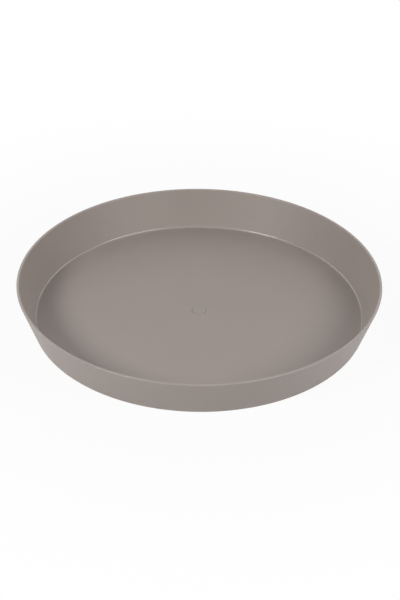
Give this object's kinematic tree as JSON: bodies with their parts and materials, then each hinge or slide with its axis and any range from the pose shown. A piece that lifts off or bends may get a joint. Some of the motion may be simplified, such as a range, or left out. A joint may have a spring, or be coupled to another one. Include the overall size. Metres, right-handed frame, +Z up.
{
  "type": "plant saucer",
  "caption": "Round plastic plant saucer with a low flared wall, a thin rounded rim and a flat floor, which catches the water that drains from a pot.",
  "frame": {"origin": "on the table, under the middle of the saucer", "axes": "+Z up along the saucer's axis; X and Y lie in the table and are free, because the saucer is round"},
  "size_m": [0.35, 0.35, 0.04],
  "materials": {
    "saucer_plastic": "warm grey moulded polypropylene with a fine satin grain"
  },
  "bodies": {
    "root": {"saucer": "saucer_plastic"}
  },
  "joints": []
}
